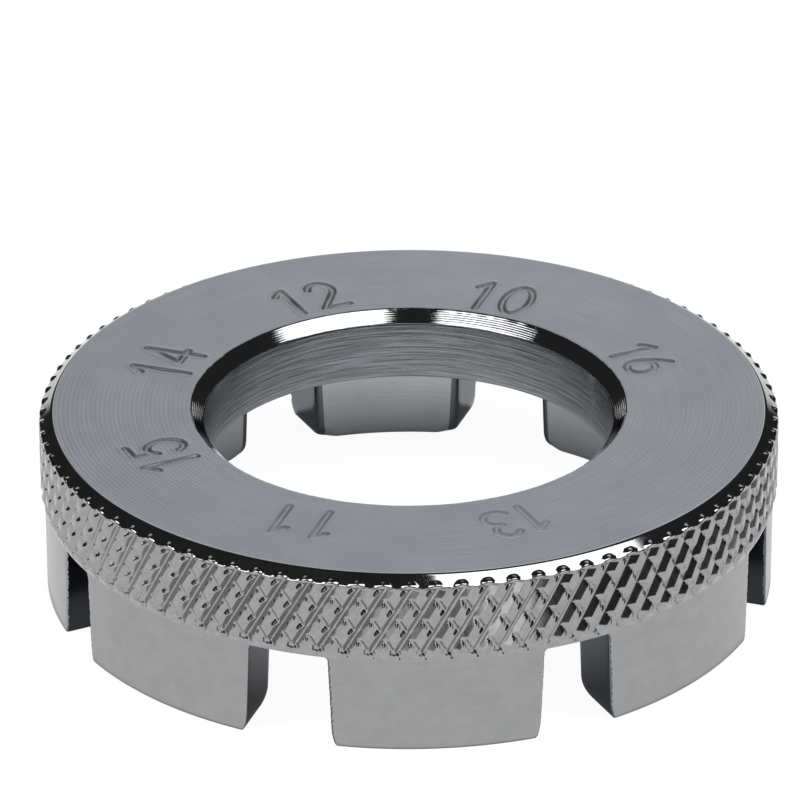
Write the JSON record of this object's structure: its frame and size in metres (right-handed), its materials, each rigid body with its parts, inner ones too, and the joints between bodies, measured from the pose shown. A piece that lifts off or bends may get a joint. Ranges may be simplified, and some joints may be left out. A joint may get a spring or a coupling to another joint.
{
  "type": "spoke wrench",
  "caption": "Round steel spoke key with a diamond-knurled rim, a finger hole and a slotted skirt whose jaws grip spoke nipples of different gauges.",
  "frame": {"origin": "centre of the plane of the jaw feet, on the ring's axis", "axes": "+Z along the ring's axis, up through the numbered face; +X along the unmarked slot, and +Y along the slot for 10 gauge nipples"},
  "size_m": [0.047, 0.047, 0.012],
  "materials": {
    "turned_plating": "nickel-chrome plating over a turned face, with fine rings left by the cutting tool",
    "knurl_plating": "bright nickel-chrome plating over rolled diamond knurling",
    "jaw_plating": "satin nickel-chrome plating over a turned skirt with milled slots"
  },
  "bodies": {
    "root": {"ring_body": "turned_plating", "knurled_grip": "knurl_plating", "jaw_plain_16": "jaw_plating", "jaw_16_10": "jaw_plating", "jaw_10_12": "jaw_plating", "jaw_12_14": "jaw_plating", "jaw_14_15": "jaw_plating", "jaw_15_11": "jaw_plating", "jaw_11_13": "jaw_plating", "jaw_13_plain": "jaw_plating"}
  },
  "joints": []
}
